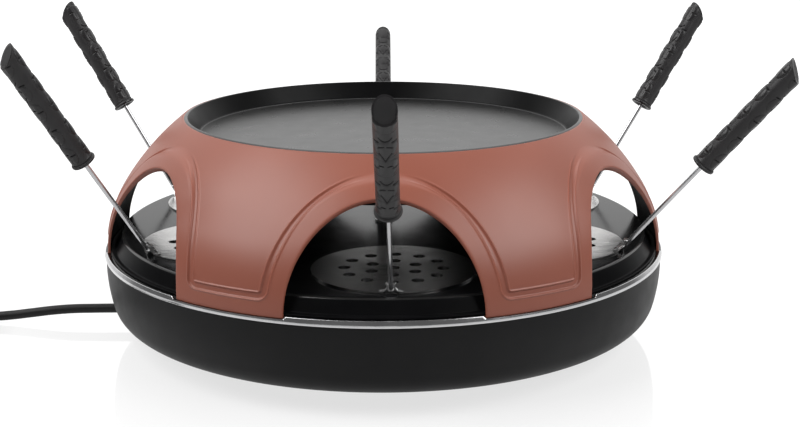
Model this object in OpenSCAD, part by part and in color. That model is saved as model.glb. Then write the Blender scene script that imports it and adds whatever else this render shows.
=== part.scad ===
// Table-top electric pizza oven: a round base with a heated baking tray, a lift-off dome with
// six arches, a griddle pan let into the top of the dome, and six long-handled spatulas.
// Millimetres, +Z up. The origin is on the table, under the middle of the base.

/* [Base] */
// Diameter of the bowl at its rim
base_d = 408; // [380:1:440]
// Height of the seat that the dome stands on
seat_z = 66; // [58:0.5:76]
// Sheet thickness of the bowl
bowl_wall = 1.5; // [1:0.1:2.5]
// Radius of the upper, nearly upright part of the bowl's wall
bowl_upright_r = 110; // [95:1:130]
// Radius of the turn under the bowl
bowl_turn_r = 20; // [15:0.5:26]
// Diameter of the flat under the bowl
bowl_flat_d = 280; // [260:1:300]
// Height of the rubber foot ring
foot_h = 4.8; // [3:0.1:8]
// Width of the rubber foot ring
foot_ring_w = 14; // [8:1:20]

/* [Rim] */
// Sheet thickness of the bright rim
rim_t = 1.2; // [0.8:0.1:1.6]
// Height of the rim's lip above the dome's seat
lip_h = 1.8; // [1:0.1:3]
// How far the rim's outer band hangs below the seat
band_drop = 2.7; // [2:0.1:5]
// How far the rim stands proud of the bowl
rim_proud = 1; // [0.6:0.1:2]

/* [Tray] */
// Thickness of the baking tray
tray_t = 2; // [1.5:0.1:3]
// Height of the tray's plateau above the dome's seat
plateau_h = 13; // [9:0.5:18]
// Width of the tray's edge round the plateau
tray_edge = 8.4; // [7:0.2:14]
// Radius of the plateau's edge
plateau_edge_r = 3.5; // [2:0.5:5]

/* [Heaters] */
// Diameter of the heating tubes
tube_d = 8; // [6:0.2:9]
// Diameter of the lower heating loop
lower_loop_d = 240; // [200:2:280]
// Diameter of the upper heating loop
upper_loop_d = 220; // [190:2:240]
// Height of the upper heating loop above the tray
upper_loop_rise = 43; // [36:0.5:48]
// Diameter of the post that carries the upper loop
post_d = 10; // [9:0.5:14]
// Sheet thickness of the reflector dish
reflector_t = 0.8; // [0.6:0.1:1.2]
// Depth of the reflector dish below the dome's seat
reflector_drop = 24; // [20:0.5:28]

/* [Dome] */
// Sheet thickness of the dome
dome_t = 1.8; // [1.4:0.1:2.4]
// Height of the dome above its seat
dome_h = 94.2; // [85:0.2:105]
// Outer diameter of the dome's top edge
dome_top_d = 292; // [280:1:304]
// Radius of the dome's lower curve
dome_low_r = 87; // [80:1:95]
// Turn of the dome's lower curve, in degrees
dome_low_turn = 32; // [28:1:36]
// Width of an arch at its foot
arch_w = 127; // [122:1:136]
// Height of an arch
arch_h = 70; // [60:1:76]
// Width of the channel pressed round the arches
channel_w = 3.6; // [2.4:0.2:5]
// Depth of the pressed channel
channel_depth = 0.8; // [0.5:0.1:1]
// Distance from an arch's edge to the middle of the channel
channel_inset = 13; // [10:0.5:15]
// Height of the channel above the dome's foot
channel_foot = 12.4; // [10:0.2:18]

/* [Griddle pan] */
// Depth of the pan's floor below its rim
pan_depth = 13; // [9:0.5:20]
// Sheet thickness of the pan
pan_t = 1.8; // [1.4:0.1:3]
// Width of the pan's rim flange
pan_flange = 2.1; // [1.9:0.1:3]
// Thickness of the pan's rim flange
pan_rim_t = 0.8; // [0.6:0.1:1.4]
// Flare of the pan's wall, from rim to floor
pan_flare = 8.3; // [6:0.1:11]

/* [Spatulas] */
// Diameter of a spatula's plate
plate_d = 110; // [96:1:112]
// Thickness of a spatula's plate
plate_t = 1; // [0.8:0.1:1.6]
// Distance of a plate's middle from the edge of the tray's plateau
plate_inset = 63; // [60:0.5:65]
// Diameter of the holes in the plate
hole_d = 8.5; // [5:0.5:10]
// Spacing of the rings of holes
hole_ring = 16.4; // [13:0.2:18]
// Diameter of the wire
wire_d = 3.2; // [2.6:0.1:4]
// Length of wire between plate and grip
wire_l = 83; // [70:1:100]
// Length of the grip
grip_l = 93; // [80:1:120]
// Diameter of the grip
grip_d = 14.2; // [12:0.2:15]
// Diameter of the collar at the foot of the grip
collar_d = 17; // [16.5:0.5:20]
// Tilt of the cut butt of the grip, in degrees
butt_tilt = 35; // [10:1:40]

/* [Mains lead] */
// Diameter of the mains lead
cord_d = 7; // [6:0.2:8]
// Diameter of the plug's body
plug_d = 36; // [32:1:40]

/* [Hidden] */
$fn = 96;
ARCHES = 6;
SECTOR = 360 / ARCHES;
EPS = 0.01;

// Each spatula from the front one round to the right: rise of its wire as it was bent, and how it
// was laid on the tray, as a shift round the oven and a turn about its own plate, all in degrees
wire_rise = [52, 50, 55, 34, 56, 57];
lay_shift = [2.8, 1.4, -1.9, 0, 1.6, -2.8];
lay_turn = [-5, 5, -3.5, 0, 5, 8];
function heading(k) = -90 + SECTOR * k;

// Clearances
seat_gap = 0.2;
slide_gap = 0.2;
fit_gap = 0.3;
wall_gap = 0.5;

// Base
base_r = base_d / 2;
rim_r = base_r + rim_proud;
bowl_top_z = seat_z - rim_t;
cover_t = 1.5;
bowl_bottom_z = foot_h + cover_t;
under_slope = 10;
bowl_collar = 8;
cover_margin = 4;
bowl_ledge = 13;
cover_d = bowl_flat_d - 2 * cover_margin;
cover_hole_d = bowl_flat_d - 2 * bowl_ledge;
foot_inset = 10;
foot_ring_r = cover_hole_d / 2 - foot_inset;
foot_chamfer = 1;
foot_air_d = 4;
foot_air_count = 12;
screw_at = (cover_d + cover_hole_d) / 4;
screw_count = 6;
screw_start = 30;
screw_head_taper = 0.75;
screw_d = 3.5;
screw_head_d = 6.5;
screw_head_h = 1.6;
screw_l = 3.5;
vent_w = 4;
vent_l = 34;
vent_at = 45;
vent_side = 3;
CUT = 1;

// Bowl's wall: an upright curve, and a turn that carries on from it into a shallow cone
bowl_c1 = [base_r - bowl_upright_r, bowl_top_z - bowl_collar];
bowl_cone = [cos(under_slope), sin(under_slope)];
bowl_from = [bowl_flat_d / 2, bowl_bottom_z] + bowl_turn_r * [-bowl_cone[1], bowl_cone[0]] - bowl_c1;
bowl_along = bowl_from * bowl_cone;
bowl_swing = bowl_upright_r - bowl_turn_r;
bowl_reach = sqrt(pow(bowl_along, 2) - bowl_from * bowl_from + pow(bowl_swing, 2)) - bowl_along;
bowl_c2 = bowl_c1 + bowl_from + bowl_reach * bowl_cone;
bowl_knee = atan2(bowl_c2[1] - bowl_c1[1], bowl_c2[0] - bowl_c1[0]);

// Dome, with its foot's outer edge just inside the rim's lip
dome_inset = 1.3;
dome_r = base_r - dome_inset;
dome_foot_z = seat_z + seat_gap;
dome_top_z = seat_z + dome_h;
dome_top_r = dome_top_d / 2;
leg_angle = SECTOR / 2 - asin(arch_w / 2 / dome_r);
dome_lip_t = 1.5;
lip_bury = 0.8;
channel_fade = 5;
cut_from = dome_top_r - 40;
cut_to = dome_r + 5;
arch_points = 24;

// Tray and the dish under it: their flanges lie on the rim's flange, inside the dome's feet
tray_r = dome_r - dome_t - wall_gap;
dish_flange_z = seat_z;
tray_flange_z = dish_flange_z + reflector_t;
plateau_z = seat_z + plateau_h;
plateau_r = tray_r - tray_edge;
riser_share = 0.6;
riser_run = tray_edge * riser_share;
rim_flange_r = plateau_r;
skirt_drop = 8;
lip_chamfer = 0.4;
lip_lean = 0.8;
riser_toe = 1;
dish_wall_r = rim_flange_r - wall_gap;
dish_floor_z = seat_z - reflector_drop;
dish_slope_run = 6;

// Heaters
tube_r = tube_d / 2;
lower_loop_rise = 15;
lower_loop_z = dish_floor_z + reflector_t + lower_loop_rise;
upper_loop_z = plateau_z + upper_loop_rise;
hub_d = 44;
hub_h = 12;
hub_z = upper_loop_z - hub_h / 2;
hub_wall = 1.5;
spider_t = 1.5;
spider_z = hub_z - spider_t;
arm_w = 8;
arm_count = 3;
saddle_w = 10;
lead_in = 10;
lead_in_l = 6;
sleeve_d = tube_d + 2;
post_bore_d = post_d - 4;
collar_post_d = post_d + 3;
collar_post_h = 1.5;
post_nut_d = 22;
post_nut_h = 5;
post_thread = 3;
post_step_d = post_d + 4;
post_step_h = 2;
clip_d = 6;
clip_count = 4;
clip_start = 45;
clip_foot = 1;
spider_d = hub_d - 8;
terminal_drop = 12;
terminal_z = dish_floor_z - terminal_drop;
terminal_gap = 16;
lower_half_gap = asin(terminal_gap / lower_loop_d);
upper_half_gap = asin(2 * lead_in / upper_loop_d);
post_low_z = dish_floor_z - post_nut_h - post_thread;

// Wiring inside the bowl, on the bottom cover
cutout_at = [0, 60];
cutout_d = 18;
cutout_h = 8;
clamp_inset = 9;
clamp_at = clamp_inset - cover_hole_d / 2;
clamp_to_block = 23;
block_at = [clamp_at + clamp_to_block, 0];
block_size = [22, 46, 14];
block_top_z = bowl_bottom_z + block_size[2];
block_ways = 4;
block_pitch = 11;
block_floor = 5;
block_hole_d = 5;
clamp_size = [12, 26];
clamp_over = 3;
cutout_tab = 3;
cutout_tab_t = 1;
core_d = 2.4;
core_gap = core_d / 2 + slide_gap;

// Pan, hung by its flange from the dome's top lip
dome_top_show = 1.3;
pan_r = dome_top_r - dome_top_show;
pan_rim_z = dome_top_z + seat_gap + pan_rim_t;
pan_floor_z = pan_rim_z - pan_depth;
pan_wall_r = pan_r - pan_flange;
pan_floor_r = pan_wall_r - pan_flare;
pan_corner_r = 3;
pan_edge = 0.3;
pan_roll = 0.6;
pan_shoulder = 0.6;
dome_lip_r = pan_wall_r + pan_shoulder + fit_gap;

// Spatulas
plate_at = plateau_r - plate_inset;
plate_z = plateau_z + slide_gap;
plate_r = plate_d / 2;
foot_w = 15;
foot_l = 6;
foot_t = 1.2;
foot_neck = 12;
foot_neck_d = wire_d + 1.6;
foot_neck_l = 1;
foot_back = 0.5;
wire_in_grip = 40;
wire_end_gap = 0.5;
wire_fit = 0.1;
grip_r = grip_d / 2;
grip_waves = 7;
grip_wave = 0.35;
collar_l = 8;
collar_edge = 1.2;
collar_band = 3;
notch_d = 10;

// Mains lead: out of the bowl's underside on the left, down to the table and into a coil
cord_r = cord_d / 2;
cord_z = 11.5;
well_r = cord_r + 3;
well_wall = 1.5;
well_inset = 5;
well_x = -bowl_flat_d / 2 - well_inset;
gland_l = 45;
gland_flange = 3;
gland_skin = 0.9;
gland_rings = 6;
groove_depth = 0.6;
groove_w = 1.5;
gland_end_x = well_x - gland_l;
tie_t = 0.8;
tie_w = 6;
coil_pitch = cord_d + 0.6;
coil_turns = 5.25;
coil_in_r = 26;
coil_x = -334;
coil_z = cord_r + tie_t + fit_gap;
coil_step = coil_pitch;
coil_out_r = coil_in_r + coil_pitch * coil_turns / 2;
coil_y = -coil_out_r;
coil_rings = 24;
coil_ends = cord_d;
plug_neck = [-376, -124, plug_d / 2 + fit_gap];
plug_lead = 10;
plug_l = 32;
neck_l = 24;
neck_d = cord_d + 3;
neck_flare = 1.5;
neck_share = 0.7;
plug_round = 6;
plug_chamfer = 1;
pin_d = 4.8;
pin_l = 19;
pin_pitch = 19;

lead_route = [
    [gland_end_x, 0, cord_z],
    [-205, 0, 11.5],
    [-220, 0, 11.4],
    [-235, 0, 11.1],
    [-250, 0, 10],
    [-265, 0, 8.2],
    [-280, 0, 6.4],
    [-295, 0, 5.2],
    [-310, 0, coil_z],
    [coil_x + coil_ends, 0, coil_z]
];
end_route = [
    [coil_x - coil_out_r, coil_y - coil_ends, coil_z + coil_step],
    [coil_x - coil_out_r, coil_y - 2 * coil_ends, coil_z + coil_step],
    [-379.9, -70, 12.9],
    [-379.4, -80, 14.2],
    [-378.2, -92, 15.8],
    [-376.8, -104, 17.4],
    plug_neck + [0, plug_lead, 0],
    plug_neck
];

// Points of an arc in the plane of a profile
function arc(c, r, from, to, n) =
    [for (i = [0 : n]) let (a = from + (to - from) * i / n) c + r * [cos(a), sin(a)]];
function reversed(v) = [for (i = [len(v) - 1 : -1 : 0]) v[i]];
function unit(v) = v / norm(v);

// Bowl's wall at an inset from its outer face
function bowl_side(inset) =
    concat([[base_r - inset, bowl_top_z]],
           arc(bowl_c1, bowl_upright_r - inset, 0, bowl_knee, 8),
           arc(bowl_c2, bowl_turn_r - inset, bowl_knee, under_slope - 90, 12),
           [[bowl_flat_d / 2 - inset * tan(under_slope / 2), bowl_bottom_z + inset]]);

module bowl_body(inset) {
    rotate_extrude()
        polygon(concat([[0, bowl_top_z]], bowl_side(inset), [[0, bowl_bottom_z + inset]]));
}

module along_x(at, r, from, to) {
    translate([to, 0, at])
        rotate([0, 90, 0])
            cylinder(r = r, h = from - to);
}

module base_bowl() {
    color([0.13, 0.13, 0.135])
    difference() {
        union() {
            difference() {
                bowl_body(0);
                bowl_body(bowl_wall);
                translate([0, 0, bowl_top_z - EPS])
                    cylinder(r = base_r - bowl_wall, h = CUT);
            }
            intersection() {
                bowl_body(0);
                along_x(cord_z, well_r + well_wall, well_x + well_wall, -base_r);
            }
        }
        along_x(cord_z, well_r, well_x, -base_r - CUT);
        along_x(cord_z, cord_r + fit_gap, -cover_hole_d / 2, well_x - CUT);
        translate([0, 0, bowl_bottom_z - CUT])
            cylinder(d = cover_hole_d, h = bowl_wall + 2 * CUT);
        around(screw_count, screw_at, screw_start)
            translate([0, 0, bowl_bottom_z - CUT])
                cylinder(d = screw_d + 2 * fit_gap, h = bowl_wall + 2 * CUT);
    }
}

module around(n, r, start = 0) {
    for (i = [0 : n - 1])
        rotate(start + 360 * i / n)
            translate([r, 0, 0])
                children();
}

module bottom_cover() {
    color([0.2, 0.2, 0.2])
    difference() {
        translate([0, 0, foot_h])
            cylinder(d = cover_d, h = cover_t);
        around(screw_count, screw_at, screw_start)
            translate([0, 0, foot_h - CUT])
                cylinder(d = screw_d + 2 * fit_gap, h = cover_t + 2 * CUT);
        for (side = [90, 270], i = [-vent_side : vent_side])
            rotate(side)
                translate([vent_at, (2.5 * i - 0.5) * vent_w, foot_h - CUT])
                    cube([vent_l, vent_w, cover_t + 2 * CUT]);
    }
}

module cover_screws() {
    color("silver")
    around(screw_count, screw_at, screw_start) {
        translate([0, 0, foot_h])
            cylinder(d = screw_d, h = screw_l + bowl_wall);
        translate([0, 0, foot_h - screw_head_h])
            cylinder(d1 = screw_head_taper * screw_head_d, d2 = screw_head_d, h = screw_head_h);
    }
}

// A rubber ring under the cover, with air channels across its top
module foot_ring() {
    low = foot_ring_r - foot_ring_w / 2;
    high = foot_ring_r + foot_ring_w / 2;
    color([0.08, 0.08, 0.08])
    difference() {
        rotate_extrude()
            polygon([
                [low + foot_chamfer, 0],
                [high - foot_chamfer, 0],
                [high, foot_chamfer],
                [high, foot_h],
                [low, foot_h],
                [low, foot_chamfer]
            ]);
        for (i = [0 : foot_air_count - 1])
            rotate(360 * i / foot_air_count)
                translate([0, 0, foot_h])
                    along_x(0, foot_air_d / 2, high + CUT, low - CUT);
    }
}

// Frontal outline of an arch in its sector, widened by grow, from below the foot to the crown
function arch_outline(grow, foot) =
    let (a = arch_w / 2 + grow, b = arch_h + grow)
    concat([[a, foot]],
           [for (i = [0 : arch_points]) let (t = 180 * i / arch_points)
               [a * cos(t), dome_foot_z + b * sin(t)]],
           [[-a, foot]]);

// A frontal outline carried outwards along the middle of a sector
module carried_out(from, to) {
    rotate([90, 0, 90])
        translate([0, 0, from])
            linear_extrude(to - from)
                children();
}

module rim_trim() {
    notch_w = 2 * dome_r * sin(leg_angle) + 2 * wall_gap;
    lip_t = rim_r - dome_r - fit_gap;
    color([0.8, 0.8, 0.82])
    difference() {
        rotate_extrude()
            polygon([
                [rim_flange_r, seat_z - rim_t],
                [base_r - bowl_wall - fit_gap - rim_t, seat_z - rim_t],
                [base_r - bowl_wall - fit_gap - rim_t, seat_z - skirt_drop],
                [base_r - bowl_wall - fit_gap, seat_z - skirt_drop],
                [base_r - bowl_wall - fit_gap, bowl_top_z],
                [base_r + slide_gap, bowl_top_z],
                [base_r + slide_gap, seat_z - band_drop],
                [rim_r, seat_z - band_drop],
                [rim_r - lip_lean, seat_z + lip_h - lip_chamfer],
                [rim_r - lip_lean - lip_chamfer, seat_z + lip_h],
                [rim_r - lip_t + lip_chamfer, seat_z + lip_h],
                [rim_r - lip_t, seat_z + lip_h - lip_chamfer],
                [rim_r - lip_t, seat_z],
                [rim_flange_r, seat_z]
            ]);
        for (k = [0 : ARCHES - 1])
            rotate(heading(k) + SECTOR / 2)
                carried_out(rim_flange_r, rim_r + CUT)
                    polygon([
                        [-notch_w / 2, seat_z],
                        [notch_w / 2, seat_z],
                        [notch_w / 2 + lip_h, seat_z + lip_h + EPS],
                        [-notch_w / 2 - lip_h, seat_z + lip_h + EPS]
                    ]);
    }
}

module reflector_dish() {
    t = reflector_t;
    color([0.75, 0.75, 0.74])
    difference() {
        rotate_extrude()
            polygon([
                [0, dish_floor_z],
                [dish_wall_r - dish_slope_run, dish_floor_z],
                [dish_wall_r, dish_floor_z + dish_slope_run],
                [dish_wall_r, dish_flange_z],
                [tray_r, dish_flange_z],
                [tray_r, dish_flange_z + t],
                [dish_wall_r - t, dish_flange_z + t],
                [dish_wall_r - t, dish_floor_z + dish_slope_run + t / 2],
                [dish_wall_r - dish_slope_run - t / 2, dish_floor_z + t],
                [0, dish_floor_z + t]
            ]);
        translate([0, 0, dish_floor_z - CUT])
            cylinder(d = post_d + 2 * fit_gap, h = t + 2 * CUT);
        lower_ends()
            translate([0, 0, dish_floor_z - CUT])
                cylinder(d = sleeve_d + 2 * wall_gap, h = t + 2 * CUT);
    }
}

// A heating loop, open by half_gap degrees on each side of its heading
module open_loop(d, half_gap, heading) {
    rotate(heading + half_gap)
        rotate_extrude(angle = 360 - 2 * half_gap)
            translate([d / 2, 0])
                circle(d = tube_d, $fn = 32);
}

// The two ends of the lower loop, side by side over the cord's entry
module lower_ends() {
    for (s = [-1, 1])
        rotate(180 + s * lower_half_gap)
            translate([lower_loop_d / 2, 0, 0])
                children();
}

module lower_heater() {
    color([0.25, 0.24, 0.24]) {
        translate([0, 0, lower_loop_z])
            open_loop(lower_loop_d, lower_half_gap, 180);
        lower_ends()
            translate([0, 0, terminal_z])
                cylinder(d = sleeve_d, h = lower_loop_z + sleeve_d / 2 - terminal_z);
    }
}

module lower_clips() {
    foot_z = dish_floor_z + reflector_t;
    color("silver")
    around(clip_count, lower_loop_d / 2, clip_start) {
        translate([0, 0, foot_z])
            cylinder(d = clip_d, h = lower_loop_z - tube_r - foot_z - seat_gap);
        translate([0, 0, foot_z])
            cylinder(d = 2 * clip_d, h = clip_foot);
    }
}

module baking_tray() {
    t = tray_t;
    top = plateau_z;
    edge = plateau_edge_r;
    foot_r = plateau_r + riser_run;
    lean = atan2(top - tray_flange_z - t, riser_run);
    outer = concat(
        [[tray_r, tray_flange_z], [tray_r, tray_flange_z + t], [foot_r + riser_toe, tray_flange_z + t]],
        arc([plateau_r - edge, top - edge], edge, 90 - lean, 90, 5));
    inner = concat(
        arc([plateau_r - edge, top - edge], edge - t, 90, 90 - lean, 3),
        [[foot_r - t / 2, tray_flange_z]]);
    color([0.07, 0.07, 0.075])
    difference() {
        rotate_extrude()
            polygon(concat([[0, top - t]], inner, outer, [[0, top]]));
        translate([0, 0, top - t - CUT])
            cylinder(d = post_d + 2 * fit_gap, h = t + 2 * CUT);
    }
}

module heater_post() {
    color([0.2, 0.2, 0.2])
    difference() {
        union() {
            translate([0, 0, post_low_z])
                cylinder(d = post_d, h = hub_z + hub_wall - post_low_z);
            translate([0, 0, plateau_z])
                cylinder(d = collar_post_d, h = collar_post_h);
            translate([0, 0, spider_z - post_step_h])
                cylinder(d = post_step_d, h = post_step_h);
        }
        translate([0, 0, post_low_z - CUT])
            cylinder(d = post_bore_d, h = hub_z + hub_h - post_low_z);
    }
}

module post_nut() {
    color("silver")
    translate([0, 0, dish_floor_z - post_nut_h])
        difference() {
            cylinder(d = post_nut_d, h = post_nut_h, $fn = 6);
            translate([0, 0, -CUT])
                cylinder(d = post_d + 2 * slide_gap, h = post_nut_h + 2 * CUT);
        }
}

module heater_spider() {
    reach = upper_loop_d / 2 + saddle_w / 2;
    color([0.25, 0.25, 0.25])
    difference() {
        union() {
            translate([0, 0, spider_z])
                cylinder(d = spider_d, h = spider_t);
            for (i = [0 : arm_count - 1])
                rotate(90 + 360 * i / arm_count)
                    translate([0, -arm_w / 2, spider_z]) {
                        cube([reach, arm_w, spider_t]);
                        translate([upper_loop_d / 2 - saddle_w / 2, 0, 0])
                            cube([saddle_w, arm_w, upper_loop_z - tube_r - spider_z - seat_gap]);
                    }
        }
        translate([0, 0, spider_z - CUT])
            cylinder(d = post_d + 2 * fit_gap, h = spider_t + 2 * CUT);
    }
}

module heater_hub() {
    color([0.15, 0.15, 0.15])
    difference() {
        translate([0, 0, hub_z])
            cylinder(d = hub_d, h = hub_h);
        translate([0, 0, hub_z + hub_wall])
            cylinder(d = hub_d - 2 * hub_wall, h = hub_h - 2 * hub_wall);
        translate([0, 0, hub_z - CUT])
            cylinder(d = post_d + 2 * fit_gap, h = hub_wall + 2 * CUT);
        for (s = [-1, 1])
            translate([s * lead_in, hub_d / 4, upper_loop_z])
                rotate([-90, 0, 0])
                    cylinder(d = sleeve_d + 2 * fit_gap, h = hub_d / 2);
    }
}

// The loop, and at the back two sleeves that run side by side into the hub
module upper_heater() {
    from = hub_d / 2 - hub_wall - lead_in_l;
    to = upper_loop_d / 2 * cos(upper_half_gap) + sleeve_d / 2;
    color([0.25, 0.24, 0.24])
    translate([0, 0, upper_loop_z]) {
        open_loop(upper_loop_d, upper_half_gap, 90);
        for (s = [-1, 1])
            translate([s * lead_in, from, 0])
                rotate([-90, 0, 0])
                    cylinder(d = sleeve_d, h = to - from);
    }
}

module thermal_cutout() {
    color([0.85, 0.83, 0.78])
    translate([cutout_at[0], cutout_at[1], dish_floor_z - cutout_h]) {
        cylinder(d = cutout_d, h = cutout_h);
        translate([0, 0, cutout_h - cutout_tab_t])
            cylinder(d = cutout_d + 2 * cutout_tab, h = cutout_tab_t);
    }
}

function way_at(i) = (i - (block_ways - 1) / 2) * block_pitch;

module terminal_block() {
    color([0.92, 0.91, 0.86])
    difference() {
        translate([block_at[0] - block_size[0] / 2, block_at[1] - block_size[1] / 2, bowl_bottom_z])
            cube(block_size);
        for (i = [0 : block_ways - 1])
            translate([block_at[0], block_at[1] + way_at(i), bowl_bottom_z + block_floor])
                cylinder(d = block_hole_d, h = block_size[2]);
    }
}

// Cores from the block to the lower loop's ends, to the cut-out and up the post, and the cord's tail
module inner_wires() {
    block_x = block_at[0] + block_size[0] / 2 + wall_gap;
    block_mid = bowl_bottom_z + block_size[2] / 2;
    end_x = -lower_loop_d / 2 * cos(lower_half_gap);
    color([0.5, 0.1, 0.1]) {
        along_x(cord_z, cord_r, block_at[0] - block_size[0] / 2 - slide_gap, well_x);
        for (s = [-1, 1])
            tube([
                [block_at[0], s * way_at(3), block_top_z + core_gap],
                [block_at[0] - 10, s * 15, block_top_z + 3],
                [end_x + 8, s * 12, terminal_z - 2.5],
                [end_x, s * terminal_gap / 2, terminal_z - core_gap]
            ], core_d / 2, 6);
        tube([
            [block_x, way_at(2), block_mid],
            [-60, 12, block_mid + 4],
            [-32, 38, block_mid + 11],
            [cutout_at[0] - 6, cutout_at[1] - 3, dish_floor_z - cutout_h - core_gap]
        ], core_d / 2, 6);
        tube([
            [block_x, way_at(1), block_mid],
            [-60, -10, block_mid + 4],
            [-30, -5, block_mid + 12],
            [-2, 0, post_low_z - core_gap]
        ], core_d / 2, 6);
    }
}

module cord_clamp() {
    color([0.2, 0.2, 0.2])
    difference() {
        translate([clamp_at - clamp_size[0] / 2, -clamp_size[1] / 2, bowl_bottom_z])
            cube([clamp_size[0], clamp_size[1], cord_z + cord_r + clamp_over - bowl_bottom_z]);
        along_x(cord_z, cord_r + slide_gap, clamp_at + clamp_size[0], clamp_at - clamp_size[0]);
    }
}

module cord_gland() {
    big = well_r - fit_gap;
    wide = big - CUT;
    small = cord_r + gland_skin;
    color([0.06, 0.06, 0.06])
    translate([well_x, 0, cord_z])
        rotate([0, -90, 0])
            rotate_extrude()
                polygon(concat(
                    [[0, 0], [big, 0], [big, gland_flange]],
                    [for (i = [0 : gland_rings - 1], e = [0, 1])
                        let (f = (i + e / 2) / gland_rings)
                        [wide - (wide - small) * f - groove_depth * e,
                         gland_flange + (gland_l - gland_flange) * f + groove_w * e]],
                    [[small, gland_l], [0, gland_l]]));
}

// A round tube swept along points, its rings square to the path
module tube(points, r, sides) {
    last = len(points) - 1;
    rings = [for (i = [0 : last])
        let (d = unit(points[min(i + 1, last)] - points[max(i - 1, 0)]),
             side = unit(cross(d, [0, 0, 1])),
             up = cross(side, d))
        for (j = [0 : sides - 1])
            let (a = 360 * j / sides) points[i] + r * (cos(a) * side + sin(a) * up)];
    walls = [for (i = [0 : last - 1], j = [0 : sides - 1], h = [0, 1])
        let (a = i * sides + j, b = i * sides + (j + 1) % sides)
        h == 0 ? [a, b, a + sides] : [b, b + sides, a + sides]];
    caps = [for (j = [1 : sides - 2], h = [0, 1])
        h == 0 ? [0, j + 1, j] : [last * sides, last * sides + j, last * sides + j + 1]];
    polyhedron(rings, concat(walls, caps));
}

// Middle line of the coil, in turns from the half turn where it climbs and the spiral reverses
function coil_point(t) =
    let (a = 180 + 360 * (t - coil_turns / 2),
         r = coil_in_r + coil_pitch * abs(t),
         climb = min(max(t + 0.25, 0), 0.5) / 0.5)
    [coil_x + r * cos(a), coil_y + r * sin(a), coil_z + coil_step * climb];
coil_count = round(coil_turns * coil_rings);
coil_line = [for (i = [0 : coil_count]) coil_point(coil_turns * (i / coil_count - 0.5))];
coil_path = concat(
    [coil_line[0] + [coil_ends, 0, 0]],
    coil_line,
    [coil_line[coil_count] - [0, coil_ends, 0]]);
coil_gap = min([for (i = [0 : coil_count], j = [i + coil_rings / 2 : 1 : coil_count])
    norm(coil_line[i] - coil_line[j])]) - cord_d;
echo("least gap between the coil's turns", coil_gap);

module cord_lead() {
    color([0.06, 0.06, 0.06])
    tube(lead_route, cord_r, 10);
}

module cord_coil() {
    color([0.06, 0.06, 0.06])
    tube(coil_path, cord_r, 6);
}

module cord_end() {
    color([0.06, 0.06, 0.06])
    tube(end_route, cord_r, 10);
}

module cord_tie() {
    low = coil_in_r - cord_r - wall_gap;
    high = coil_out_r + cord_r + wall_gap;
    top = coil_z + coil_step + cord_r + fit_gap;
    color([0.1, 0.1, 0.1])
    translate([coil_x, coil_y, 0])
        rotate(-45)
            translate([0, tie_w / 2, 0])
                rotate([90, 0, 0])
                    linear_extrude(tie_w)
                        difference() {
                            translate([low - tie_t, 0])
                                square([high - low + 2 * tie_t, top + tie_t]);
                            translate([low, tie_t])
                                square([high - low, top - tie_t]);
                        }
}

// The plug lies with its axis along -Y, its neck towards the coil
module plug_frame() {
    translate(plug_neck)
        rotate([90, 0, 0])
            children();
}

module plug_body() {
    r = plug_d / 2;
    color([0.06, 0.06, 0.06])
    plug_frame()
        rotate_extrude()
            polygon(concat(
                [[0, 0], [neck_d / 2, 0], [neck_d / 2 + neck_flare, neck_l * neck_share]],
                arc([r - plug_round, neck_l + plug_round], plug_round, -60, 0, 4),
                [[r, neck_l + plug_l - plug_chamfer],
                 [r - plug_chamfer, neck_l + plug_l],
                 [0, neck_l + plug_l]]));
}

module plug_pins() {
    color("silver")
    plug_frame()
        for (s = [-1, 1])
            translate([s * pin_pitch / 2, 0, neck_l + plug_l]) {
                cylinder(d = pin_d, h = pin_l - pin_d / 2);
                translate([0, 0, pin_l - pin_d / 2])
                    sphere(d = pin_d);
            }
}

// Dome's profile at an inset from its outer face: a lower curve, upright at the foot, and a wider
// one that carries on from it to the top edge
dome_c1 = [dome_r - dome_low_r, dome_foot_z];
dome_join = dome_c1 + dome_low_r * [cos(dome_low_turn), sin(dome_low_turn)];
dome_in = -[cos(dome_low_turn), sin(dome_low_turn)];
dome_span = [dome_top_r, dome_top_z] - dome_join;
dome_high_r = dome_span * dome_span / (2 * dome_span * dome_in);
dome_c2 = dome_join + dome_high_r * dome_in;
dome_high_turn = atan2(dome_top_z - dome_c2[1], dome_top_r - dome_c2[0]);

function dome_side(inset) =
    let (r2 = dome_high_r - inset,
         last = asin((dome_top_z - dome_lip_t * (inset > 0 ? 1 : 0) - dome_c2[1]) / r2))
    concat(arc(dome_c1, dome_low_r - inset, 0, dome_low_turn, 6),
           arc(dome_c2, r2, dome_low_turn, last, 6));

// A skin of the dome between two insets
module dome_skin(outer, inner) {
    rotate_extrude()
        polygon(concat(dome_side(outer), reversed(dome_side(inner))));
}

// Frontal outline of the channel pressed round an arch, from the foot channel to beside the crown
module arch_channel() {
    low = dome_foot_z + channel_foot;
    high = dome_foot_z + arch_h + channel_inset - channel_fade;
    intersection() {
        difference() {
            polygon(arch_outline(channel_inset + channel_w / 2, dome_foot_z - CUT));
            polygon(arch_outline(channel_inset - channel_w / 2, dome_foot_z - 2 * CUT));
        }
        translate([-dome_r, low])
            square([2 * dome_r, high - low]);
    }
}

// Frontal outline of the channel along the foot of a leg, into the channels on both sides of it
module foot_channel() {
    start = asin((arch_w / 2 + channel_inset) / dome_r);
    half = dome_r * sin(SECTOR / 2 - start);
    translate([-half, dome_foot_z + channel_foot - channel_w / 2])
        square([2 * half, channel_w]);
}

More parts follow.
